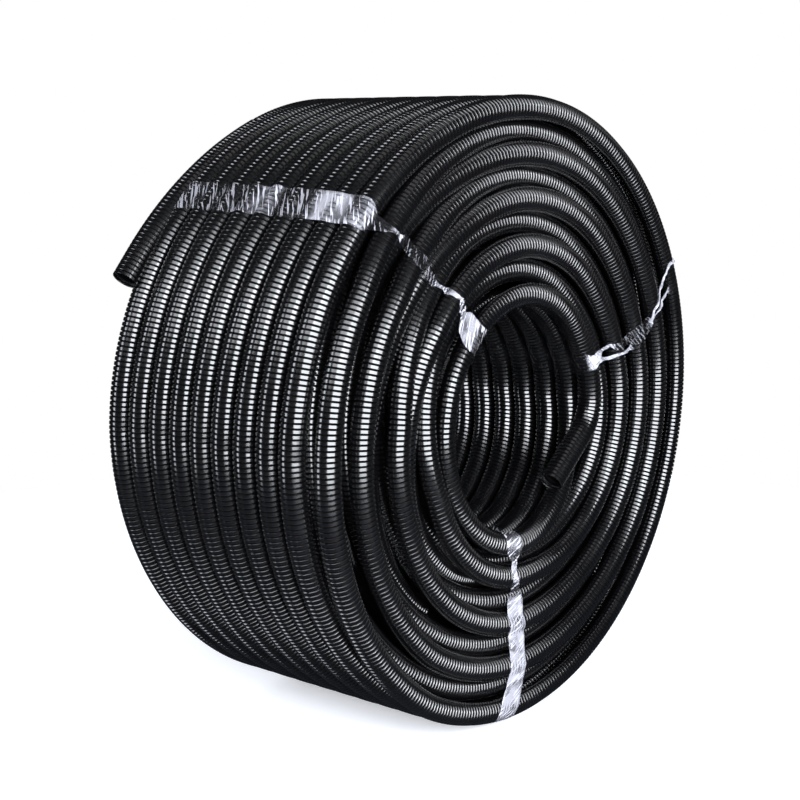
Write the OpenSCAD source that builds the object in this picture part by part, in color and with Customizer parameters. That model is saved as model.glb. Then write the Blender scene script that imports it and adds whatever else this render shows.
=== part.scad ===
// Corrugated plastic conduit, a full roll tied with three strips of film.
// The roll stands on its rim: its axis lies along Y and its near end faces -Y.

/* [Conduit] */
// Diameter over the ribs
conduit_od = 21.2; // [18:0.1:25]
// Clear bore
conduit_id = 16.8; // [12:0.1:17]
// Distance from rib to rib
rib_pitch = 3.85; // [3.5:0.05:5]
// Width of a rib's crest
rib_w = 2.1; // [1.5:0.1:2.5]

/* [Winding] */
// Distance between neighbouring turns of a layer
turn_pitch = 23.2; // [22.6:0.1:24]
// Distance between layers, measured along a radius
layer_rise = 18.2; // [17.9:0.1:19]
// Radius of the innermost layer's centreline
first_r = 105.5; // [90:0.5:120]
// Turns in the odd layers, while the even ones have one turn less
layer_turns = 10; // [6:1:12]
// Number of layers
layers = 9; // [5:2:11]

/* [Loose ends] */
// Where the outer end lifts off the roll, in degrees round from 3 o'clock
outer_lift_at = 112; // [100:1:130]
// Bend radius of the outer end
outer_bend_r = 345; // [320:1:420]
// Angle of the outer end's bend
outer_bend_a = 28; // [15:1:30]
// Straight length after the outer end's bend
outer_straight = 24; // [20:1:40]
// Bend radius of the inner end
inner_bend_r = 40; // [38:1:60]
// Angle of the inner end's bend
inner_bend_a = 51; // [40:1:60]
// Straight length after the inner end's bend
inner_straight = 60; // [20:1:70]

/* [Film strips] */
// Width of a strip of film
film_w = 28; // [15:1:35]
// Thickness of the film's overlapped layers
film_t = 0.1; // [0.1:0.05:0.4]
// Where the upper left strip crosses the roll, in degrees round from 3 o'clock
film_upper_at = 134; // [120:1:150]
// Where the right strip crosses the roll
film_right_at = 19; // [10:1:30]
// Where the lower strip crosses the roll
film_lower_at = 265; // [255:1:275]

/* [Hidden] */
$fn = 96;
tube_r = conduit_od / 2;
bore_r = conduit_id / 2;
// radius in the valleys between the ribs
root_r = bore_r + 0.9;
// how far the loose ends start inside the turns that they leave
sink = 0.4;
// the loose ends' ribs stand from these angles of their bends on
outer_ribs_from = 9;
inner_ribs_from = 20;
last_r = first_r + (layers - 1) * layer_rise;
rim_r = last_r + tube_r;
eye_r = first_r - tube_r;
half_run = (layer_turns - 1) * turn_pitch / 2;
half_w = half_run + tube_r;
film_gap = 0.02;
skin = 0.2;
// the lower film's edge nearest the lowest point of the roll
film_half_a = film_w / 2 / rim_r * 180 / PI;
low_a = min(abs(270 - film_lower_at - film_half_a), abs(film_lower_at - film_half_a - 270));
film_r = rim_r + film_gap + film_t;
film_low = abs(film_lower_at - 270) <= film_half_a ? film_r : film_r * cos(low_a);
axis_z = max(rim_r, film_low);

function layer_radius(i) = first_r + i * layer_rise;
function layer_count(i) = layer_turns - i % 2;
function turn_place(i, k) = (k - (layer_count(i) - 1) / 2) * turn_pitch;

// Half section of the wound body: the turns that show, round a filled middle.
// x is the radius and y runs along the roll's axis.
module winding_section() {
    for (i = [0 : layers - 1]) {
        edge = i == 0 || i == layers - 1;
        for (k = edge ? [0 : layer_count(i) - 1] : [0, layer_count(i) - 1])
            translate([layer_radius(i), turn_place(i, k)]) circle(tube_r);
    }
    near = [for (i = [0 : layers - 1]) [layer_radius(i), turn_place(i, 0)]];
    far = [for (i = [layers - 1 : -1 : 0]) [layer_radius(i), turn_place(i, layer_count(i) - 1)]];
    polygon(concat(near, far));
}

// Puts something drawn round the Z axis onto the roll's axis, near end at -Y.
module on_roll_axis() {
    translate([0, 0, axis_z]) rotate([90, 0, 0]) children();
}

// One rib of the conduit, standing across +Y.
module rib() {
    rotate([90, 0, 0]) cylinder(r = tube_r, h = rib_w, center = true);
}

// A loose length of conduit: it starts at the origin heading +Y, bends round a centre
// on its -X side and ends straight. Its ribs stand from the given angle on.
module loose_end(bend_r, bend_a, straight, ribs_from) {
    rib_a = rib_pitch / bend_r * 180 / PI;
    translate([-bend_r, 0, 0]) {
        rotate_extrude(angle = bend_a) translate([bend_r, 0]) circle(root_r);
        for (a = [bend_a : -rib_a : ribs_from])
            rotate([0, 0, a]) translate([bend_r, 0, 0]) rib();
        rotate([0, 0, bend_a]) translate([bend_r, 0, 0]) {
            rotate([-90, 0, 0]) cylinder(r = root_r, h = straight);
            for (y = [rib_pitch : rib_pitch : straight - rib_w])
                translate([0, y, 0]) rib();
        }
    }
}

// The bore of a loose end, open at its straight end and closed inside the roll.
module end_bore(bend_r, bend_a, straight, bore_from) {
    translate([-bend_r, 0, 0]) {
        rotate([0, 0, bore_from]) rotate_extrude(angle = bend_a - bore_from)
            translate([bend_r, 0]) circle(bore_r);
        rotate([0, 0, bend_a]) translate([bend_r, 0, 0]) rotate([-90, 0, 0])
            cylinder(r = bore_r, h = straight + skin);
    }
}

module outer_end_place() {
    rotate([0, 0, outer_lift_at]) translate([last_r - sink, 0, -half_run]) children();
}

module inner_end_place() {
    mirror([0, 1, 0]) translate([first_r + sink, 0, half_run]) children();
}

module conduit_coil() {
    color([0.06, 0.06, 0.065]) on_roll_axis() difference() {
        union() {
            rotate_extrude() winding_section();
            outer_end_place() loose_end(outer_bend_r, outer_bend_a, outer_straight, outer_ribs_from);
            inner_end_place() loose_end(inner_bend_r, inner_bend_a, inner_straight, inner_ribs_from);
        }
        outer_end_place() end_bore(outer_bend_r, outer_bend_a, outer_straight, outer_ribs_from);
        inner_end_place() end_bore(inner_bend_r, inner_bend_a, inner_straight, inner_ribs_from);
    }
}

// One strip of film, wrapped once round the section of the roll.
module film_strap(at) {
    in_r = eye_r - film_gap;
    out_r = rim_r + film_gap;
    out_y = half_w + film_gap;
    color([0.85, 0.88, 0.9, 0.5]) on_roll_axis()
        rotate([0, 0, at - film_half_a]) rotate_extrude(angle = 2 * film_half_a)
            difference() {
                translate([in_r - film_t, -out_y - film_t])
                    square([out_r - in_r + 2 * film_t, 2 * (out_y + film_t)]);
                translate([in_r, -out_y]) square([out_r - in_r, 2 * out_y]);
            }
}

conduit_coil();
film_strap(film_upper_at);  // film_strap_upper
film_strap(film_right_at);  // film_strap_right
film_strap(film_lower_at);  // film_strap_lower
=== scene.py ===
"""A roll of black corrugated conduit, standing on its rim and tied with three strips of clear film.

Lengths are in metres and angles in degrees. A place on the roll is an angle round its axis, a radius
and a depth. The angle starts at 3 o'clock, goes up over 12 o'clock as seen from the near end, and
counts on past 360. The depth is 0 in the middle of the nearest turns, less than 0 further in, and
more than 0 where a turn swells out of the near end.
"""

import math

import bmesh
import bpy
from bpy.props import FloatProperty, FloatVectorProperty, PointerProperty
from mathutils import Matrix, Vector, geometry, noise


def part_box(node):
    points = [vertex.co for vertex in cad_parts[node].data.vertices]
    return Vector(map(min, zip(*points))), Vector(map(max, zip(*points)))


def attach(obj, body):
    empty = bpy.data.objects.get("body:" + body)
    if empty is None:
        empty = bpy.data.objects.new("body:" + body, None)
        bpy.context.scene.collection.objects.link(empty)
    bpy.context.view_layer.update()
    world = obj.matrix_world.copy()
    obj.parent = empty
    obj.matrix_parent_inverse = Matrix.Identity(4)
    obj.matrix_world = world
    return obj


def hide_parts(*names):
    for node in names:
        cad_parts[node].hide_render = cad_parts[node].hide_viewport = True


bl_info = {
    "name": "Corrugated Conduit Roll",
    "version": (1, 0, 0),
    "blender": (4, 5, 0),
    "location": "3D View > Sidebar > Conduit",
    "description": "Winds a tied roll of corrugated conduit turn by turn",
    "category": "Add Mesh",
}

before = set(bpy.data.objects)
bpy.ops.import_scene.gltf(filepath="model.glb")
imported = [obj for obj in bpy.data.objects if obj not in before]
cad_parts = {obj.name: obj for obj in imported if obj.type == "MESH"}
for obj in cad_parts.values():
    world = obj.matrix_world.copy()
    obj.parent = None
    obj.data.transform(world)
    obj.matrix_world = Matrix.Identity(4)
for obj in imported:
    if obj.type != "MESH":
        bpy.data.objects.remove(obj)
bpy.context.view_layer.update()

MM = 0.001
COIL_LOW, COIL_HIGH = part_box("conduit_coil")
RIM_R = COIL_HIGH.x
AXIS_Z = COIL_LOW.z + RIM_R
FAR_Y = COIL_HIGH.y


def linear(colour):
    """The linear colour of an sRGB hex value."""
    parts = [int(colour[i : i + 2], 16) / 255 for i in (1, 3, 5)]
    return tuple(c / 12.92 if c <= 0.04045 else ((c + 0.055) / 1.055) ** 2.4 for c in parts)


# ---------------------------------------------------------------- sizes and colours


def length(name, default, description):
    """A length in metres that the user can change."""
    return FloatProperty(
        name=name,
        default=default,
        description=description,
        unit="LENGTH",
        subtype="DISTANCE",
        precision=5,
    )


def colour(name, default, description):
    """A colour that the user can change, given as sRGB hex."""
    return FloatVectorProperty(
        name=name,
        default=linear(default),
        description=description,
        subtype="COLOR",
        size=3,
        min=0,
        max=1,
    )


class ConduitSizes(bpy.types.PropertyGroup):
    """The conduit's own section, the same all along its length."""

    over_ribs: length("Over Ribs", 21.2 * MM, "Diameter over the ribs")
    in_valleys: length("In Valleys", 18.0 * MM, "Diameter in the valleys between the ribs")
    rib_pitch: length("Rib Pitch", 3.85 * MM, "Distance from rib to rib")
    wall: length("Wall", 0.6 * MM, "Thickness of the conduit's wall")
    shade: colour("Colour", "#040405", "Colour of the plastic")


class FilmSizes(bpy.types.PropertyGroup):
    """The strips of stretch film that tie the roll."""

    width: length("Width", 28 * MM, "Width of a strip where it lies flat")
    thickness: length("Thickness", 0.1 * MM, "Thickness of the film, with its plies")
    shade: colour("Colour", "#A6A6AE", "Colour of the film where it is hazy")


class WindingSizes(bpy.types.PropertyGroup):
    """How the conduit is wound."""

    turn_pitch: length("Turn Pitch", 23.2 * MM, "Distance between neighbouring turns of a layer")
    layer_rise: length("Layer Rise", 18.2 * MM, "Distance between layers")
    wander: length("Wander", 0.5 * MM, "How far a turn strays from its even place")


# ---------------------------------------------------------------- nodes and materials


def add_node(tree, kind, settings=None, **inputs):
    """Adds a node. An input takes a value or another node's output.

    It is named i0, i1 and so on by its number, or by its own name with _ for a space.
    """
    node = tree.nodes.new(kind)
    for key, value in (settings or {}).items():
        setattr(node, key, value)
    for key, value in inputs.items():
        numbered = key[0] == "i" and key[1:].isdigit()
        socket = node.inputs[int(key[1:]) if numbered else key.replace("_", " ")]
        if isinstance(value, bpy.types.NodeSocket):
            tree.links.new(value, socket)
        else:
            socket.default_value = value
    return node


def new_material(name):
    """A new material and its empty node tree."""
    made = bpy.data.materials.new(name)
    made.use_nodes = True
    made.node_tree.nodes.clear()
    return made, made.node_tree


def extruded_polyethylene():
    """Black polyethylene, extruded and blown into its corrugated mould.

    The eye gets a deep black with a sharp glint on every rib.
    """
    made, tree = new_material("extruded_polyethylene")
    place = add_node(tree, "ShaderNodeTexCoord").outputs["Object"]
    # handling and dust leave soft patches some 30 mm across that shine a little less
    patches = add_node(tree, "ShaderNodeTexNoise", Vector=place, Scale=1 / (30 * MM), Detail=3.0)
    rough = add_node(
        tree,
        "ShaderNodeMapRange",
        Value=patches.outputs["Fac"],
        From_Min=0.3,
        From_Max=0.7,
        To_Min=0.16,
        To_Max=0.22,
    )
    # the melt's fine grain, drawn at 0.8 mm, coarser than the real one, so that it shows
    grain = add_node(tree, "ShaderNodeTexNoise", Vector=place, Scale=1 / (0.8 * MM), Detail=2.0)
    relief = add_node(tree, "ShaderNodeBump", Strength=0.1, Distance=0.02 * MM, Height=grain.outputs["Fac"])
    shade = bpy.context.scene.conduit.shade
    surface = add_node(
        tree,
        "ShaderNodeBsdfPrincipled",
        Base_Color=(*shade, 1),
        Roughness=rough.outputs["Result"],
        IOR=1.51,
        Specular_IOR_Level=0.95,
        Normal=relief.outputs["Normal"],
    )
    add_node(tree, "ShaderNodeOutputMaterial", Surface=surface.outputs["BSDF"])
    return made


def blown_film():
    """Clear polyethylene, blown and stretched.

    The eye sees through it where it is smooth. Painted white along its creases stands in for their glints.
    """
    made, tree = new_material("blown_film")
    place = add_node(tree, "ShaderNodeUVMap", {"uv_map": "along_and_across"}).outputs["UV"]
    haze = add_node(tree, "ShaderNodeAttribute", {"attribute_name": "haze"}).outputs["Fac"]
    contact = add_node(tree, "ShaderNodeAttribute", {"attribute_name": "contact"}).outputs["Fac"]

    # creases run slantwise across the strip, some 2 mm apart and 20 mm long
    slanted = add_node(
        tree,
        "ShaderNodeMapping",
        {"vector_type": "TEXTURE"},
        Vector=place,
        Rotation=(0, 0, math.radians(58)),
        Scale=(22 * MM, 2.4 * MM, 1),
    ).outputs["Vector"]
    creases = add_node(
        tree, "ShaderNodeTexNoise", Vector=slanted, Scale=1.0, Detail=3.0, Distortion=0.6
    ).outputs["Fac"]
    # painted highlight: the creases' glints, drawn as white film along them
    painted_glints = add_node(
        tree, "ShaderNodeMapRange", Value=creases, From_Min=0.56, From_Max=0.59, To_Min=0.0, To_Max=1.0
    ).outputs["Result"]
    # patches some 14 mm across where the plies part from each other
    cloudy = add_node(
        tree, "ShaderNodeTexNoise", Vector=place, Scale=1 / (14 * MM), Detail=2.0
    ).outputs["Fac"]
    patches = add_node(
        tree, "ShaderNodeMapRange", Value=cloudy, From_Min=0.38, From_Max=0.56, To_Min=0.25, To_Max=1.0
    ).outputs["Result"]
    # the ribs press dark dashes into the film where it touches them
    across = add_node(tree, "ShaderNodeSeparateXYZ", Vector=place).outputs["Y"]
    waves = math.tau / bpy.context.scene.conduit.rib_pitch
    phase = add_node(tree, "ShaderNodeMath", {"operation": "MULTIPLY"}, i0=across, i1=waves).outputs[0]
    ribs = add_node(tree, "ShaderNodeMath", {"operation": "SINE"}, i0=phase).outputs[0]
    dashes = add_node(
        tree, "ShaderNodeMapRange", Value=ribs, From_Min=0.1, From_Max=0.8, To_Min=0.0, To_Max=0.75
    ).outputs["Result"]
    pressed = add_node(tree, "ShaderNodeMath", {"operation": "MULTIPLY"}, i0=dashes, i1=contact).outputs[0]
    unpressed = add_node(tree, "ShaderNodeMath", {"operation": "SUBTRACT"}, i0=1.0, i1=pressed).outputs[0]
    # a veil over the hazy stretches, which fades fast where the film is clearer
    veil = add_node(tree, "ShaderNodeMath", {"operation": "POWER"}, i0=haze, i1=2.4).outputs[0]
    veil = add_node(tree, "ShaderNodeMath", {"operation": "MULTIPLY"}, i0=veil, i1=patches).outputs[0]
    veil = add_node(tree, "ShaderNodeMath", {"operation": "MULTIPLY"}, i0=veil, i1=unpressed).outputs[0]
    # painted glints: white film along the creases stands in for their highlights, at full strength but for
    # the clearest stretches
    strength = add_node(
        tree, "ShaderNodeMath", {"operation": "MULTIPLY_ADD", "use_clamp": True}, i0=haze, i1=4.0, i2=-0.25
    ).outputs[0]
    painted_glint_cover = add_node(tree, "ShaderNodeMath", {"operation": "MULTIPLY"}, i0=painted_glints, i1=strength).outputs[0]
    # even the clearest film keeps a thousandth of its own surface
    clearest = add_node(tree, "ShaderNodeMath", {"operation": "ADD"}, i0=veil, i1=0.001).outputs[0]
    cover = add_node(
        tree, "ShaderNodeMath", {"operation": "ADD", "use_clamp": True}, i0=clearest, i1=painted_glint_cover
    ).outputs[0]
    relief = add_node(tree, "ShaderNodeBump", Strength=0.6, Distance=0.4 * MM, Height=creases)
    surface = add_node(
        tree,
        "ShaderNodeBsdfPrincipled",
        Base_Color=(*bpy.context.scene.film.shade, 1),
        Roughness=0.22,
        IOR=1.5,
        Alpha=cover,
        Normal=relief.outputs["Normal"],
    )
    add_node(tree, "ShaderNodeOutputMaterial", Surface=surface.outputs["BSDF"])
    return made


# ---------------------------------------------------------------- the winding's courses


# the crossings, the climbs and the film are laid out for these numbers
LAYERS = 9
LAYER_TURNS = 10


def layer_radius(layer):
    """Radius of a layer's centreline, counted from 1 at the eye."""
    scene = bpy.context.scene
    last = RIM_R - scene.film.thickness - scene.conduit.over_ribs / 2
    return last - (LAYERS - layer) * scene.winding.layer_rise


def near_y():
    """Where the middle of the nearest turns lies on Y."""
    return -FAR_Y + bpy.context.scene.conduit.over_ribs / 2


def along(keys, place):
    """The value at a place, on straight lines between (place, value) keys."""
    if place <= keys[0][0]:
        return keys[0][1]
    for (before, low), (after, high) in zip(keys, keys[1:]):
        if place <= after:
            return low + (high - low) * (place - before) / (after - before)
    return keys[-1][1]


def pitches_passed(angle, first):
    """How many turn pitches a helix has moved, when each turn moves over in the quarter that starts at first.

    The last turn of a layer moves no further.
    """
    turn = math.floor((angle - first) / 360)
    return min(turn + min((angle - first - 360 * turn) / 90, 1), LAYER_TURNS - 1)


# the angle over which a stray comes and goes
WANDER_ANGLE = 40
# keeps the wanders of two courses apart
WANDER_APART = 3.7


def stray(angle, seed):
    """A slow, even wander between -1 and 1, the same on every run."""
    return noise.noise(Vector((angle / WANDER_ANGLE, WANDER_APART * seed, 0.5)))


# how far the innermost turns have sunk, by layer
SAG = {1: 5 * MM, 2: 3 * MM, 3: 1.5 * MM}
# how far each near turn swells out of the near end, by layer
SWELL = {2: 8.6 * MM, 3: 6.5 * MM, 4: 5 * MM, 5: 5 * MM, 6: 3.5 * MM, 7: 3 * MM, 8: 1 * MM}
# the middle of that swelling, and how far it reaches to either side
SWELL_AT = -15
SWELL_HALF = 70
# where the near turn of an even layer comes forward, a turn before it climbs into the next layer.
# Layer 8 does so in rim_course.
CROSSING = {2: 190, 4: 160, 6: 130}
# how high the rim's turns ride up where they cross a groove
CROSSING_HUMP = 1.5 * MM


def swell(angle, layer):
    """How far a near turn stands out of the near end, on the roll's right side."""
    off = (angle - SWELL_AT + 180) % 360 - 180
    return SWELL.get(layer, 0) * math.cos(math.pi / 2 * min(abs(off) / SWELL_HALF, 1)) ** 2


class Course:
    """One stretch of the conduit's path round the roll.

    It gives the radius and the depth at every angle from start to end, with a small stray of its own.
    """

    def __init__(self, start, end, radius, depth, seed):
        self.start, self.end = start, end
        self.base_radius, self.base_depth = radius, depth
        self.seed = seed
        self.ribs = self.walk()

    def radius(self, angle):
        """The radius at an angle. It strays inwards only."""
        wander = bpy.context.scene.winding.wander
        return self.base_radius(angle) - wander * (0.5 + 0.5 * stray(angle, self.seed))

    def depth(self, angle):
        """The depth at an angle."""
        wander = bpy.context.scene.winding.wander
        return self.base_depth(angle) + wander * stray(angle, self.seed + 50)

    def walk(self):
        """The angle at which each rib's valley starts, a rib pitch apart along the conduit."""
        angles, angle = [], self.start
        while angle < self.end:
            angles.append(angle)
            angle += math.degrees(bpy.context.scene.conduit.rib_pitch / self.radius(angle))
        return angles


# the rim's turns climb into the outer layer between these angles
RIM_CLIMB = 510
RIM_REACHED = 600
# where the first of them starts to move over, at 12 o'clock
RIM_MOVES = 810


def rim_course():
    """From the near turn of layer 8, up into layer 9 and across the rim to the outer loose end."""
    pitch = bpy.context.scene.winding.turn_pitch
    start = 105
    forward = [
        (start, -1.7 * pitch),
        (150, -1.15 * pitch),
        (240, -0.5 * pitch),
        (450, -0.5 * pitch),
        (RIM_CLIMB, 0),
    ]
    climb = [(RIM_CLIMB, layer_radius(LAYERS - 1)), (RIM_REACHED, layer_radius(LAYERS))]

    def radius(angle):
        passed = pitches_passed(angle, RIM_MOVES)
        hump = CROSSING_HUMP * math.sin(math.pi * (passed % 1)) if angle > RIM_MOVES else 0
        return along(climb, angle) + hump

    def depth(angle):
        if angle < RIM_REACHED:
            return along(forward, angle) + swell(angle, LAYERS - 1)
        return -pitch * pitches_passed(angle, RIM_MOVES)

    return Course(start, 360 * (LAYER_TURNS + 1) + OUTER_LIFT, radius, depth, LAYERS)


def eye_course():
    """Layer 1 from the inner loose end to the far end, and the first turn of layer 2 there."""
    pitch = bpy.context.scene.winding.turn_pitch
    climb = 360 * (LAYER_TURNS - 1) + 90
    half_pitches_back = [(climb, 0), (climb + 90, 1), (climb + 360, 1), (climb + 450, 3)]

    def radius(angle):
        risen = min(along(half_pitches_back, angle), 1)
        sag = SAG[1] + (SAG[2] - SAG[1]) * risen
        return layer_radius(1 + risen) - sag * math.sin(math.radians(angle))

    def depth(angle):
        return -pitch * (pitches_passed(angle, 270) - 0.5 * along(half_pitches_back, angle))

    return Course(0, climb + 450, radius, depth, 1)


def near_course(layer):
    """The near turn of an even layer, its climb and the first turn of the odd layer that it starts."""
    pitch = bpy.context.scene.winding.turn_pitch
    at = CROSSING[layer]
    depths = [
        (at - 30, -1.7 * pitch),
        (at + 15, -1.15 * pitch),
        (at + 105, -0.5 * pitch),
        (at + 315, -0.5 * pitch),
        (at + 375, 0),
        (at + 675, 0),
        (at + 765, -pitch),
        (at + 800, -1.5 * pitch),
    ]
    climbs = [(at + 375, 0), (at + 465, 1)]

    def radius(angle):
        risen = along(climbs, angle)
        sag = SAG.get(layer, 0) + (SAG.get(layer + 1, 0) - SAG.get(layer, 0)) * risen
        return layer_radius(layer + risen) - sag * math.sin(math.radians(angle))

    def depth(angle):
        risen = along(climbs, angle)
        out = swell(angle, layer) * (1 - risen) + swell(angle, layer + 1) * risen
        return along(depths, angle) + out

    return Course(at - 30, at + 800, radius, depth, layer + 20)


def far_course(layer):
    """The far turn of an odd layer, its climb and the first turn of the even layer that it starts."""
    pitch = bpy.context.scene.winding.turn_pitch
    last = LAYER_TURNS - 1
    pitches = [
        (90, 1 - last),
        (180, -last),
        (450, -last),
        (540, 0.5 - last),
        (810, 0.5 - last),
        (900, 1.5 - last),
    ]

    def radius(angle):
        risen = along([(450, 0), (540, 1)], angle)
        sag = SAG.get(layer, 0) * (1 - risen)
        return layer_radius(layer + risen) - sag * math.sin(math.radians(angle))

    def depth(angle):
        return pitch * along(pitches, angle)

    return Course(90, 900, radius, depth, layer + 40)


def near_courses():
    """The courses that show on the near end, by the layer that each climbs from."""
    return {layer: near_course(layer) for layer in CROSSING}


def far_courses():
    """The courses that show on the far end, by the layer that each climbs from."""
    return {layer: far_course(layer) for layer in (3, 5, 7)}


# ---------------------------------------------------------------- laying conduit

# a rib from the valley before it: a share of the pitch, and the share of the rib's height reached there
RIB_PROFILE = ((0, 0), (0.14, 0.82), (0.22, 1), (0.78, 1), (0.86, 0.82))
# the rows of that profile that are rounded, while the others are sharp edges
SHOULDER_ROWS = (1, 4)
# which way a turn's round side looks: 0 is straight out over the rim, and 90 is towards the far end
OUT = 0
NEAR = -90
EYE = 180
FAR = 90
# the loose ends: where the outer one leaves the roll, then bend radius, angle of the bend and straight
OUTER_LIFT = 112
OUTER_BEND_R = 345 * MM
OUTER_BEND = 28
OUTER_STRAIGHT = 24 * MM
INNER_BEND_R = 40 * MM
INNER_BEND = 51
INNER_STRAIGHT = 60 * MM
# points round a loose end
MOUTH_SLICES = 24
# vertices closer than this are the same one
SAME_PLACE = 1e-6


def section(centre, side, radius, facing, spread, slices):
    """Points round the conduit's centre, closed by the first one. side points away from the bend's middle."""
    points = []
    for i in range(slices + 1):
        turn = math.radians(facing + spread * (i / slices - 0.5))
        points.append(centre + radius * (math.cos(turn) * side + math.sin(turn) * Vector((0, 1, 0))))
    if spread < 360:
        points.append(points[0])
    return points


def add_band(bm, rows):
    """Adds a grid whose points stand where rows says, and gives the row and the number of each vertex."""
    last_row, last_point = len(rows) - 1, len(rows[0]) - 1
    places = {}
    for vertex in bmesh.ops.create_grid(bm, x_segments=last_row, y_segments=last_point, size=0.5)["verts"]:
        places[vertex] = round((vertex.co.x + 0.5) * last_row), round((vertex.co.y + 0.5) * last_point)
    for vertex, (row, point) in places.items():
        vertex.co = rows[row][point]
    return places


def to_object(name, bm, smooth=True):
    """Sews up a mesh's seams, turns its faces outwards and makes it an object."""
    bmesh.ops.remove_doubles(bm, verts=bm.verts, dist=SAME_PLACE)
    bmesh.ops.recalc_face_normals(bm, faces=bm.faces)
    if not bm.faces:
        raise RuntimeError(f"{name} has no faces")
    for face in bm.faces:
        face.smooth = smooth
    mesh = bpy.data.meshes.new(name)
    bm.to_mesh(mesh)
    bm.free()
    piece = bpy.data.objects.new(name, mesh)
    bpy.context.scene.collection.objects.link(piece)
    return piece


def lay_rows(name, rows, open_ends=False):
    """One length of conduit from the rows of points round it. Only the ribs' shoulders are rounded."""
    bm = bmesh.new()
    places = add_band(bm, rows)
    for edge in bm.edges:
        a, b = (places[vertex][0] for vertex in edge.verts)
        edge.smooth = a != b or a % len(RIB_PROFILE) in SHOULDER_ROWS
    if not open_ends:
        bmesh.ops.remove_doubles(bm, verts=bm.verts, dist=SAME_PLACE)
        bmesh.ops.holes_fill(bm, edges=[edge for edge in bm.edges if edge.is_boundary], sides=0)
    return to_object(name, bm)


def lay_turns(name, course, start, end, facing, spread, slices):
    """A stretch of a course, with a D for its section: only the side that shows is round.

    facing says which way that side looks, and spread how much of the round it takes in. Both are keys.
    """
    conduit = bpy.context.scene.conduit
    crest = conduit.over_ribs / 2
    root = conduit.in_valleys / 2
    rows = []
    for rib, following in zip(course.ribs, course.ribs[1:]):
        if not start <= rib < end:
            continue
        for share, height in RIB_PROFILE:
            angle = rib + share * (following - rib)
            turn = math.radians(angle)
            side = Vector((math.cos(turn), 0, math.sin(turn)))
            centre = course.radius(angle) * side + Vector((0, near_y() - course.depth(angle), AXIS_Z))
            around = root + height * (crest - root)
            rows.append(section(centre, side, around, along(facing, angle), along(spread, angle), slices))
    if not rows:
        raise RuntimeError(f"{name} has no rib between {start} and {end} degrees")
    return finish_piece(lay_rows(name, rows), "conduit")


def lay_end(name, start, bend_r, bend, straight, heading, inwards):
    """A loose end: an arc from its start and then a straight, as an open tube with a wall.

    heading is the way it leaves, and inwards the way from its start to the middle of its bend.
    """
    conduit = bpy.context.scene.conduit
    crest = conduit.over_ribs / 2
    root = conduit.in_valleys / 2
    arc = math.radians(bend) * bend_r
    rows = []
    for rib in range(int((arc + straight) / conduit.rib_pitch)):
        for share, height in RIB_PROFILE:
            gone = (rib + share) * conduit.rib_pitch
            turn = min(gone, arc) / bend_r
            side = -math.cos(turn) * inwards + math.sin(turn) * heading
            forward = math.cos(turn) * heading + math.sin(turn) * inwards
            centre = start + bend_r * (inwards + side) + max(gone - arc, 0) * forward
            rows.append(section(centre, side, root + height * (crest - root), OUT, 360, MOUTH_SLICES))
    piece = lay_rows(name, rows, open_ends=True)
    wall = piece.modifiers.new("wall", "SOLIDIFY")
    wall.thickness = conduit.wall
    wall.offset = -1
    return finish_piece(piece, "conduit")


def finish_piece(piece, slot):
    """Gives a piece its body and the finish that slot calls for. A piece of conduit stands in for the coil.
    """
    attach(piece, "root")
    if slot == "conduit":
        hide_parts("conduit_coil")
    finish = {"conduit": extruded_polyethylene, "film": blown_film}[slot]
    piece.data.materials.append(bpy.data.materials.get(finish.__name__) or finish())
    return piece


# ---------------------------------------------------------------- stretching film

# a strip's loop, in millimetres: from the rim's near edge in over the near end, through the eye, out
# over the far end and back across the rim
LOOP = 794
# where in that loop the eye and the far end begin
EYE_REACHED = 167
FAR_END_REACHED = 400
# a turn deeper than this many pitches lies on the far end
FAR_END_PITCHES = 8.2

# Each key of a strip holds a place in that loop, and there how far the strip has slipped round the
# roll, its width, both in millimetres, and how white it is. The right strip is two plies, which part
# and meet.
SLIP = 1
WIDTH = 2
HAZE = 3
UPPER_KEYS = (
    (0, 9, 26, 0.7),
    (6, 10, 22, 0.5),
    (10, 10, 14, 0.12),
    (24, 6, 7, 0.12),
    (28, 5, 3, 0.6),
    (36, 4, 3, 0.5),
    (40, 3, 9, 0.12),
    (70, 1, 12, 0.09),
    (94, 2, 9, 0.13),
    (98, 1, 3, 0.6),
    (106, -2, 3, 0.5),
    (110, -3, 8, 0.13),
    (118, -6, 4, 0.8),
    (127, -8, 3, 0.9),
    (132, -5, 9, 0.1),
    (139, -2, 5, 0.5),
    (146, 0, 21, 0.7),
    (158, 1, 25, 0.75),
    (167, 1, 25, 0.4),
    (176, 0, 26, 0.04),
    (400, -3, 28, 0.04),
    (480, 0, 26, 0.25),
    (556, 0, 28, 0.2),
    (564, 0, 28, 0.6),
    (580, 0, 28, 0.55),
    (588, 0, 28, 0.16),
    (640, 0, 28, 0.12),
    (668, 0, 28, 0.18),
    (676, 1, 28, 0.6),
    (692, 1, 28, 0.5),
    (700, 2, 28, 0.15),
    (735, 4, 28, 0.2),
    (748, 5, 28, 0.85),
    (768, 7, 27, 0.8),
    (780, 8, 27, 0.3),
    (794, 9, 26, 0.7),
)
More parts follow.
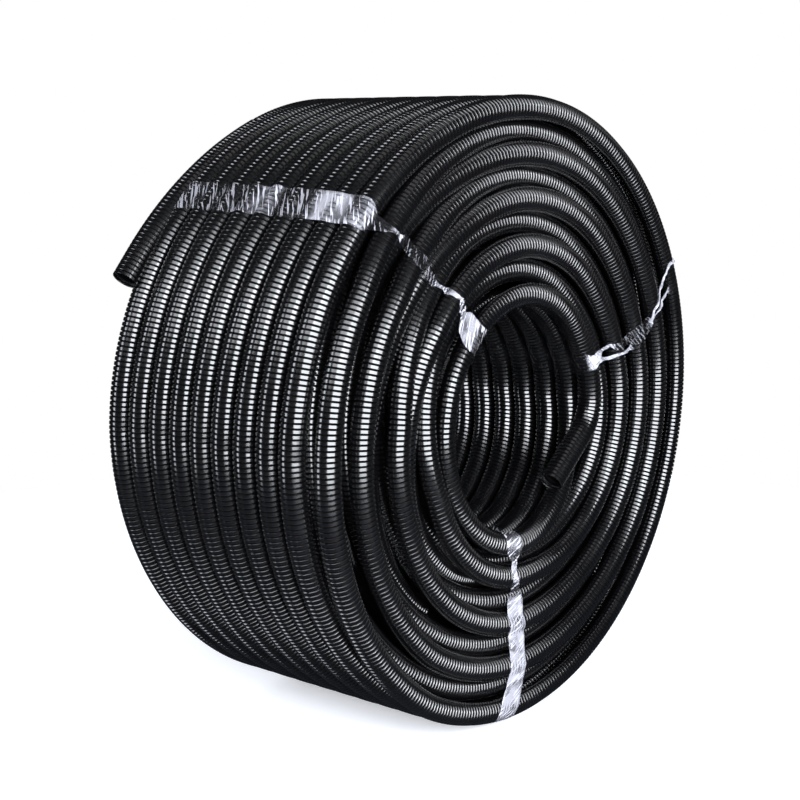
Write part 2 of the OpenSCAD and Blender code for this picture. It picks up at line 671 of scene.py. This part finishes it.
RIGHT_KEYS = (
    (
        (0, 30, 4, 0.8),
        (12, 32, 2.5, 0.9),
        (38, 14, 2.5, 1.0),
        (60, -6, 2, 1.0),
        (64, -8, 9, 0.12),
        (100, -12, 9, 0.1),
        (106, -12, 2.5, 0.8),
        (140, -6, 3, 1.0),
        (148, -3, 3, 1.0),
        (153, 0, 10, 1.0),
        (162, 0, 14, 1.0),
        (166, 0, 12, 0.8),
        (169, 0, 16, 0.04),
        (345, 0, 20, 0.04),
        (352, 2, 18, 0.7),
        (392, 4, 12, 0.8),
        (400, 4, 14, 0.2),
        (560, 4, 14, 0.5),
        (680, 8, 18, 0.15),
        (780, 28, 8, 0.3),
        (794, 30, 4, 0.8),
    ),
    (
        (0, 8, 12, 0.05),
        (20, 8, 10, 0.06),
        (24, 8, 3, 0.8),
        (38, 4, 2.5, 0.9),
        (58, -6, 2, 1.0),
        (66, -4, 10, 0.11),
        (126, -2, 8, 0.1),
        (134, 4, 2.5, 0.7),
        (148, 5, 3, 0.9),
        (153, 3, 8, 1.0),
        (162, 1, 12, 1.0),
        (166, 4, 10, 0.6),
        (169, 8, 12, 0.04),
        (400, 10, 14, 0.04),
        (560, -8, 14, 0.3),
        (680, -6, 16, 0.15),
        (794, 8, 12, 0.05),
    ),
)
LOWER_KEYS = (
    (0, -2, 24, 0.5),
    (6, -2, 26, 0.7),
    (14, 3, 27, 0.85),
    (30, 8, 24, 0.8),
    (46, 9, 22, 0.85),
    (78, 5, 22, 0.8),
    (105, 1, 22, 0.85),
    (110, 0, 22, 0.85),
    (114, 0, 16, 0.18),
    (124, -3, 10, 0.2),
    (128, -4, 8, 0.8),
    (140, -7, 7, 0.9),
    (146, -8, 9, 0.4),
    (152, -9, 20, 0.3),
    (160, -10, 21, 0.6),
    (172, -9, 22, 0.3),
    (215, -4, 28, 0.05),
    (400, 0, 28, 0.06),
    (480, 0, 26, 0.5),
    (565, 0, 26, 0.5),
    (640, 0, 28, 0.2),
    (780, -1, 26, 0.3),
    (794, -2, 24, 0.5),
)


def key_value(keys, gone, column):
    """The value in a column of a strip's keys at a place along it."""
    return along([(key[0], key[column]) for key in keys], gone)


# name, where it crosses the roll, and the keys of its plies
STRIPS = (
    ("upper", 136, (UPPER_KEYS,)),
    ("right", 19.5, RIGHT_KEYS),
    ("lower", -96, (LOWER_KEYS,)),
)
# how many steps a ply has along the loop and across
PLY_STEPS = 300
PLY_COLUMNS = 10
# the gap between the film and the crests it lies on
FILM_GAP = 0.1 * MM
# between two crests the film sags by this share of the span, up to the most, and not on a short span
SAG_SHARE = 0.055
MOST_SAG = 3 * MM
SHORT_SPAN = 4 * MM
# film this far off a turn doesn't touch it
TOUCH_REACH = 1.2 * MM
# points round each turn, from which the line over them is found
ROUND_POINTS = 32
# the puckers' length along the strip, in millimetres, and how far each millimetre of bunching and a
# free span raise them
PUCKER_LENGTH = 7
BUNCHED_LIFT = 0.1
FREE_LIFT = 0.3


def place_in_loop(radius, depth):
    """Roughly how far along a strip's loop a turn lies, in millimetres."""
    pitch = bpy.context.scene.winding.turn_pitch
    inner, outer = layer_radius(1), layer_radius(LAYERS)
    if depth > -pitch:
        return (outer - radius) / MM
    if depth < -FAR_END_PITCHES * pitch:
        return FAR_END_REACHED + (radius - inner) / MM
    if radius < (inner + outer) / 2:
        return EYE_REACHED - depth / MM
    return LOOP + depth / MM


def turns_under(courses, angle, keys, share):
    """Radius and depth of each turn under one line of a strip.

    share is the line's place across the strip, from -0.5 to 0.5.
    """
    for course in courses:
        first = angle + 360 * math.ceil((course.start - angle) / 360)
        for turn in range(int((course.end - first) // 360) + 1):
            at = first + 360 * turn
            radius = course.radius(at)
            gone = place_in_loop(radius, course.depth(at))
            slip = (key_value(keys, gone, SLIP) + share * key_value(keys, gone, WIDTH)) * MM
            at += math.degrees(slip / radius)
            yield course.radius(at), course.depth(at)


def taut_line(turns, reach, steps):
    """A line pulled tight round the turns, reach off their middles, as even steps along it.

    Each step is a radius, a depth, the way outwards and how close it is to touching a turn, up to 1.
    Between two turns that hold it the line sags a little, and lies on the turns under it.
    """
    middles = [Vector(turn) for turn in turns]
    slices = [i * math.tau / ROUND_POINTS for i in range(ROUND_POINTS)]
    circle = [(reach * math.cos(turn), reach * math.sin(turn)) for turn in slices]
    rim = [Vector((middle.x + x, middle.y + y)) for middle in middles for x, y in circle]
    hull = [rim[i] for i in geometry.convex_hull_2d(rim)]
    # the loop starts at the rim's near edge
    corner = max(range(len(hull)), key=lambda i: hull[i].x + hull[i].y)
    hull = hull[corner:] + hull[: corner + 1]
    sides = [(a, b, (b - a).length) for a, b in zip(hull, hull[1:])]
    step = sum(side[2] for side in sides) / steps
    gone = 0
    line = []
    for a, b, size in sides:
        deepest = min(SAG_SHARE * size, MOST_SAG) if size > SHORT_SPAN else 0
        out = (b - a).orthogonal().normalized() * -1
        while gone < size and len(line) < steps:
            share = gone / size
            place = a.lerp(b, share) - deepest * 4 * share * (1 - share) * out
            lift = 0
            gap = TOUCH_REACH
            for middle in middles:
                away = place - middle
                gap = min(gap, away.length - reach)
                if away.length < reach:
                    along_out = away.dot(out)
                    lift = max(lift, math.sqrt(along_out**2 + reach**2 - away.length_squared) - along_out)
            place += lift * out
            line.append((place.x, place.y, out, 1 - max(gap, 0) / TOUCH_REACH))
            gone += step
        gone -= size
    return line + line[:1]


def add_ply(bm, courses, angle, keys, seed):
    """Stretches one ply of film round the roll at an angle."""
    conduit, film = bpy.context.scene.conduit, bpy.context.scene.film
    reach = conduit.over_ribs / 2 + film.thickness / 2 + FILM_GAP
    shares = [column / PLY_COLUMNS - 0.5 for column in range(PLY_COLUMNS + 1)]
    lines = [taut_line(turns_under(courses, angle, keys, share), reach, PLY_STEPS) for share in shares]
    rows, values = [], []
    for step in range(PLY_STEPS + 1):
        gone = LOOP * step / PLY_STEPS
        slip, width, haze = (key_value(keys, gone, column) for column in (SLIP, WIDTH, HAZE))
        bunched = max(0, film.width / MM - width)
        row, row_values = [], []
        for share, line in zip(shares, lines):
            radius, depth, out, touch = line[step]
            # the tighter the strip is bunched, the more puckers lie side by side
            rough = noise.noise(Vector((gone / PUCKER_LENGTH, share * (3 + bunched / 4), seed)))
            lift = (BUNCHED_LIFT * bunched + FREE_LIFT * (1 - touch)) * max(0, rough + 0.2) * MM
            radius += lift * out.x
            depth += lift * out.y
            turn = math.radians(angle) + (slip + share * width) * MM / radius
            row.append(Vector((radius * math.cos(turn), near_y() - depth, AXIS_Z + radius * math.sin(turn))))
            row_values.append((haze, touch, gone * MM, share * width * MM))
        rows.append(row)
        values.append(row_values)
    fill_film(bm, rows, values)


def fill_film(bm, rows, values):
    """Adds a band of film with what its material reads: haze, contact and the place along and across."""
    haze = bm.verts.layers.float.get("haze") or bm.verts.layers.float.new("haze")
    contact = bm.verts.layers.float.get("contact") or bm.verts.layers.float.new("contact")
    map_layer = bm.loops.layers.uv.get("along_and_across") or bm.loops.layers.uv.new("along_and_across")
    places = add_band(bm, rows)
    for vertex, (row, point) in places.items():
        vertex[haze], vertex[contact] = values[row][point][:2]
    for face in {face for vertex in places for face in vertex.link_faces}:
        for corner in face.loops:
            row, point = places[corner.vert]
            corner[map_layer].uv = values[row][point][2:]


def film_piece(name, node, bm):
    """Finishes a strip of film."""
    film = bpy.context.scene.film
    piece = to_object(name, bm)
    ply = piece.modifiers.new("thickness", "SOLIDIFY")
    ply.thickness = film.thickness
    ply.offset = 0
    finish_piece(piece, "film")
    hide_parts(node)


# ---------------------------------------------------------------- operators


# how much of a turn's round shows: on the rim or in the eye, where two sides meet, and on the ends
SIDE_SPREAD = 190
CORNER_SPREAD = 250
NEAR_SPREAD = 205
FAR_SPREAD = 200
# how far the round side of a turn looks from the rim's or the eye's own way, where two sides meet
CORNER_TURN = 28
# slices of that round, finer where it is seen closer
SIDE_SLICES = 7
NEAR_CORNER_SLICES = 10
FAR_CORNER_SLICES = 9
NEAR_SLICES = 8
FAR_SLICES = 6


class CONDUIT_OT_rim_turns(bpy.types.Operator):
    """Winds the outer layer, from the last near turn below it to the outer loose end"""

    bl_idname = "conduit.rim_turns"
    bl_label = "Rim Turns"
    bl_options = {"REGISTER", "UNDO"}

    def execute(self, context):
        course = rim_course()
        inside, halfway, far = 960, 2340, 3690
        facing = [(RIM_CLIMB, NEAR), (RIM_REACHED, OUT - CORNER_TURN)]
        spread = [(RIM_CLIMB, NEAR_SPREAD), (RIM_REACHED, CORNER_SPREAD)]
        lay_turns("conduit_near_edge", course, course.start, inside, facing, spread, NEAR_CORNER_SLICES)
        facing, spread = [(inside, OUT)], [(inside, SIDE_SPREAD)]
        lay_turns("conduit_rim_1", course, inside, halfway, facing, spread, SIDE_SLICES)
        lay_turns("conduit_rim_2", course, halfway, far, facing, spread, SIDE_SLICES)
        facing, spread = [(far, OUT + CORNER_TURN)], [(far, CORNER_SPREAD)]
        lay_turns("conduit_far_edge", course, far, course.end, facing, spread, FAR_CORNER_SLICES)
        return {"FINISHED"}


class CONDUIT_OT_eye_turns(bpy.types.Operator):
    """Winds the innermost layer round the eye"""

    bl_idname = "conduit.eye_turns"
    bl_label = "Eye Turns"
    bl_options = {"REGISTER", "UNDO"}

    def execute(self, context):
        course = eye_course()
        inside, far, climb, climbed = 390, 3150, 3330, 3420
        facing, spread = [(0, CORNER_TURN - EYE)], [(0, CORNER_SPREAD)]
        lay_turns("conduit_eye_near_edge", course, 0, inside, facing, spread, NEAR_CORNER_SLICES)
        facing, spread = [(inside, EYE)], [(inside, SIDE_SPREAD)]
        lay_turns("conduit_eye", course, inside, far, facing, spread, SIDE_SLICES)
        facing = [(climb, EYE - CORNER_TURN), (climbed, FAR)]
        spread = [(climb, CORNER_SPREAD), (climbed, NEAR_SPREAD)]
        lay_turns("conduit_eye_far_edge", course, far, course.end, facing, spread, FAR_CORNER_SLICES)
        return {"FINISHED"}


class CONDUIT_OT_end_turns(bpy.types.Operator):
    """Winds the turns that show on the roll's two ends"""

    bl_idname = "conduit.end_turns"
    bl_label = "End Turns"
    bl_options = {"REGISTER", "UNDO"}

    def execute(self, context):
        for layer, course in near_courses().items():
            facing, spread = [(0, NEAR)], [(0, NEAR_SPREAD)]
            lay_turns(f"conduit_near_{layer}", course, course.start, course.end, facing, spread, NEAR_SLICES)
        for layer, course in far_courses().items():
            facing, spread = [(0, FAR)], [(0, FAR_SPREAD)]
            lay_turns(f"conduit_far_{layer}", course, course.start, course.end, facing, spread, FAR_SLICES)
        return {"FINISHED"}


class CONDUIT_OT_loose_ends(bpy.types.Operator):
    """Makes the two loose ends with their open mouths"""

    bl_idname = "conduit.loose_ends"
    bl_label = "Loose Ends"
    bl_options = {"REGISTER", "UNDO"}

    def execute(self, context):
        turn = math.radians(OUTER_LIFT)
        out = Vector((math.cos(turn), 0, math.sin(turn)))
        heading = Vector((-math.sin(turn), 0, math.cos(turn)))
        middle = Vector((0, -near_y(), AXIS_Z))
        start = middle + layer_radius(LAYERS) * out
        lay_end("conduit_outer_end", start, OUTER_BEND_R, OUTER_BEND, OUTER_STRAIGHT, heading, -out)
        start = Vector((layer_radius(1), near_y(), AXIS_Z))
        down, left = Vector((0, 0, -1)), Vector((-1, 0, 0))
        lay_end("conduit_inner_end", start, INNER_BEND_R, INNER_BEND, INNER_STRAIGHT, down, left)
        return {"FINISHED"}


# how many pitches in from the middle of the outermost turns the hidden ones lie: the nearer ones, the
# deeper ones, and the ends of the core
CORE_SHALLOW = 1.35
CORE_DEEP = 1.8
CORE_ENDS = 1.6
# the angles of the points that round each hidden turn
CORE_ANGLES = (-75, -40, 0, 40, 75)
CORE_STEPS = 120


def hidden_turns(shallow):
    """Radius and depth round the turns behind the ones that show.

    shallow says behind which layers they lie nearer: 0 for the even ones, 1 for the odd ones.
    """
    conduit, pitch = bpy.context.scene.conduit, bpy.context.scene.winding.turn_pitch
    reach = conduit.in_valleys / 2 - MM
    points = [(layer_radius(1) + conduit.over_ribs / 2, CORE_ENDS * pitch)]
    for layer in range(2, LAYERS):
        middle = pitch * (CORE_SHALLOW if layer % 2 == shallow else CORE_DEEP)
        for degrees in CORE_ANGLES:
            turn = math.radians(degrees)
            points.append((layer_radius(layer) + reach * math.sin(turn), middle - reach * math.cos(turn)))
    points.append((layer_radius(LAYERS) - conduit.over_ribs / 2, CORE_ENDS * pitch))
    return points


class CONDUIT_OT_winding_core(bpy.types.Operator):
    """Fills the winding behind the turns that show, so that no light passes between them"""

    bl_idname = "conduit.winding_core"
    bl_label = "Winding Core"
    bl_options = {"REGISTER", "UNDO"}

    def execute(self, context):
        bm = bmesh.new()
        outline = [(radius, near_y() + deep) for radius, deep in hidden_turns(0)]
        outline += [(radius, -near_y() - deep) for radius, deep in reversed(hidden_turns(1))]
        corners = [bm.verts.new((radius, y, AXIS_Z)) for radius, y in outline]
        sides = [bm.edges.new((a, b)) for a, b in zip(corners, corners[1:] + corners[:1])]
        bmesh.ops.spin(
            bm,
            geom=corners + sides,
            cent=(0, 0, AXIS_Z),
            axis=(0, 1, 0),
            angle=math.tau,
            steps=CORE_STEPS,
            use_merge=True,
        )
        finish_piece(to_object("winding_core", bm, smooth=False), "conduit")
        return {"FINISHED"}


class CONDUIT_OT_film_strips(bpy.types.Operator):
    """Stretches the three strips of film round the winding"""

    bl_idname = "conduit.film_strips"
    bl_label = "Film Strips"
    bl_options = {"REGISTER", "UNDO"}

    def execute(self, context):
        courses = [rim_course(), eye_course(), *near_courses().values(), *far_courses().values()]
        for name, angle, plies in STRIPS:
            bm = bmesh.new()
            for number, keys in enumerate(plies):
                add_ply(bm, courses, angle, keys, number + angle)
            film_piece(f"{name}_film", f"film_strap_{name}", bm)
        return {"FINISHED"}


# where the camera stands, from the middle of the near end, which way it looks, and its lens
CAMERA_PLACE = Vector((-1.0380, -0.7294, 0.2303))
CAMERA_HEADING = Vector((0.75887, 0.62862, -0.17017))
LENS_MM = 69.46
SENSOR_MM = 36
FLOOR_R = 0.95
FLOOR_SIDES = 96
# a line of sight across the eye passes through many plies of film
PLIES_SEEN_THROUGH = 32
# name, place, what it looks at, width and height, power, colour
LAMPS = (
    ("front_softbox", (-1.1, -2.3, 0.6), (0, 0, 0.3), (2.8, 2.0), 225, "#F6F9FF"),
    ("left_softbox", (-2.1, 1.3, 0.5), (0, 0, 0.3), (0.7, 2.2), 34, "#F2F6FF"),
    ("key_softbox", (-1.9, -1.1, 1.65), (0, 0, 0.26), (3.4, 1.2), 62, "#F6F9FF"),
    ("right_softbox", (2.1, -1.0, 1.5), (0, 0, 0.26), (1.4, 1.2), 2.5, "#F6F9FF"),
    ("top_softbox", (0.2, -0.6, 2.2), (0, 0, 0.25), (1.2, 1.0), 2, "#FFFFFF"),
)


def studio_lamp(name, place, target, size, power, shade):
    """A softbox at a place, turned to what it looks at."""
    light = bpy.data.lights.new(name, "AREA")
    light.shape = "RECTANGLE"
    light.size, light.size_y = size
    light.energy = power
    light.color = linear(shade)
    lamp = bpy.data.objects.new(name, light)
    lamp.location = place
    lamp.rotation_euler = (Vector(target) - Vector(place)).to_track_quat("-Z", "Y").to_euler()
    return lamp


class CONDUIT_OT_stage(bpy.types.Operator):
    """Sets up the camera, the floor and the soft lamps"""

    bl_idname = "conduit.stage"
    bl_label = "Stage"
    bl_options = {"REGISTER", "UNDO"}

    def execute(self, context):
        scene = context.scene
        lens = bpy.data.cameras.new("camera")
        lens.lens = LENS_MM
        lens.sensor_width = SENSOR_MM
        camera = bpy.data.objects.new("camera", lens)
        camera.location = Vector((0, near_y(), AXIS_Z)) + CAMERA_PLACE
        camera.rotation_euler = CAMERA_HEADING.to_track_quat("-Z", "Y").to_euler()
        scene.collection.objects.link(camera)
        scene.camera = camera

        bm = bmesh.new()
        bmesh.ops.create_circle(bm, cap_ends=True, segments=FLOOR_SIDES, radius=FLOOR_R)
        mesh = bpy.data.meshes.new("floor")
        bm.to_mesh(mesh)
        bm.free()
        floor = bpy.data.objects.new("floor", mesh)
        scene.collection.objects.link(floor)
        floor.data.materials.append(studio_floor())
        studio_air(scene)
        for row in LAMPS:
            scene.collection.objects.link(studio_lamp(*row))
        scene.view_settings.view_transform = "Standard"
        scene.cycles.transparent_max_bounces = PLIES_SEEN_THROUGH
        return {"FINISHED"}


def studio_floor():
    """A white sweep that keeps the roll's soft shadow, and shows dark in the plastic's gloss like a card."""
    made, tree = new_material("white_sweep")
    paper = add_node(tree, "ShaderNodeBsdfDiffuse", Color=(*linear("#F2F4FA"), 1))
    card = add_node(tree, "ShaderNodeBsdfDiffuse", Color=(*linear("#36383C"), 1))
    glow = add_node(tree, "ShaderNodeEmission", Color=(1, 1, 1, 1), Strength=0.36)
    lit = add_node(tree, "ShaderNodeAddShader", i0=paper.outputs[0], i1=glow.outputs[0])
    rays = add_node(tree, "ShaderNodeLightPath").outputs
    plain = add_node(
        tree, "ShaderNodeMixShader", i0=rays["Is Glossy Ray"], i1=paper.outputs[0], i2=card.outputs[0]
    )
    mixed = add_node(
        tree, "ShaderNodeMixShader", i0=rays["Is Camera Ray"], i1=plain.outputs[0], i2=lit.outputs[0]
    )
    add_node(tree, "ShaderNodeOutputMaterial", Surface=mixed.outputs[0])
    return made


def studio_air(scene):
    """A white room round the roll. Dark drapes show in the plastic's gloss, so that it stays black."""
    air = bpy.data.worlds.new("studio_air")
    scene.world = air
    air.use_nodes = True
    tree = air.node_tree
    tree.nodes.clear()
    rays = add_node(tree, "ShaderNodeLightPath").outputs
    straight = add_node(
        tree,
        "ShaderNodeMath",
        {"operation": "MAXIMUM"},
        i0=rays["Is Camera Ray"],
        i1=rays["Is Transmission Ray"],
    )
    room = add_node(tree, "ShaderNodeBackground", Color=(*linear("#F7FAFF"), 1), Strength=0.46)
    drapes = add_node(tree, "ShaderNodeBackground", Color=(*linear("#F7FAFF"), 1), Strength=0.03)
    white = add_node(tree, "ShaderNodeBackground", Color=(1, 1, 1, 1), Strength=1.0)
    inner = add_node(
        tree, "ShaderNodeMixShader", i0=rays["Is Glossy Ray"], i1=room.outputs[0], i2=drapes.outputs[0]
    )
    mixed = add_node(
        tree, "ShaderNodeMixShader", i0=straight.outputs[0], i1=inner.outputs[0], i2=white.outputs[0]
    )
    add_node(tree, "ShaderNodeOutputWorld", Surface=mixed.outputs[0])


# the order in which main calls them
STEPS = (
    CONDUIT_OT_stage,
    CONDUIT_OT_rim_turns,
    CONDUIT_OT_eye_turns,
    CONDUIT_OT_end_turns,
    CONDUIT_OT_loose_ends,
    CONDUIT_OT_winding_core,
    CONDUIT_OT_film_strips,
)


class CONDUIT_PT_panel(bpy.types.Panel):
    """Lists the steps and the sizes in the sidebar"""

    bl_idname = "CONDUIT_PT_panel"
    bl_label = "Conduit Roll"
    bl_space_type = "VIEW_3D"
    bl_region_type = "UI"
    bl_category = "Conduit"

    def draw(self, context):
        for step in STEPS:
            self.layout.operator(step.bl_idname)
        for group in (context.scene.conduit, context.scene.winding, context.scene.film):
            box = self.layout.box()
            for name in group.__annotations__:
                box.prop(group, name)


CLASSES = (ConduitSizes, FilmSizes, WindingSizes, *STEPS, CONDUIT_PT_panel)


def register():
    """Registers the classes and puts the sizes on the scene."""
    for listed in CLASSES:
        bpy.utils.register_class(listed)
    bpy.types.Scene.conduit = PointerProperty(type=ConduitSizes)
    bpy.types.Scene.film = PointerProperty(type=FilmSizes)
    bpy.types.Scene.winding = PointerProperty(type=WindingSizes)


def unregister():
    """Takes the sizes and the classes away again."""
    del bpy.types.Scene.winding
    del bpy.types.Scene.film
    del bpy.types.Scene.conduit
    for listed in reversed(CLASSES):
        bpy.utils.unregister_class(listed)


def main():
    """Makes the whole scene."""
    register()
    bpy.ops.conduit.stage()
    bpy.ops.conduit.rim_turns()
    bpy.ops.conduit.eye_turns()
    bpy.ops.conduit.end_turns()
    bpy.ops.conduit.loose_ends()
    bpy.ops.conduit.winding_core()
    bpy.ops.conduit.film_strips()


if __name__ == "__main__":
    main()
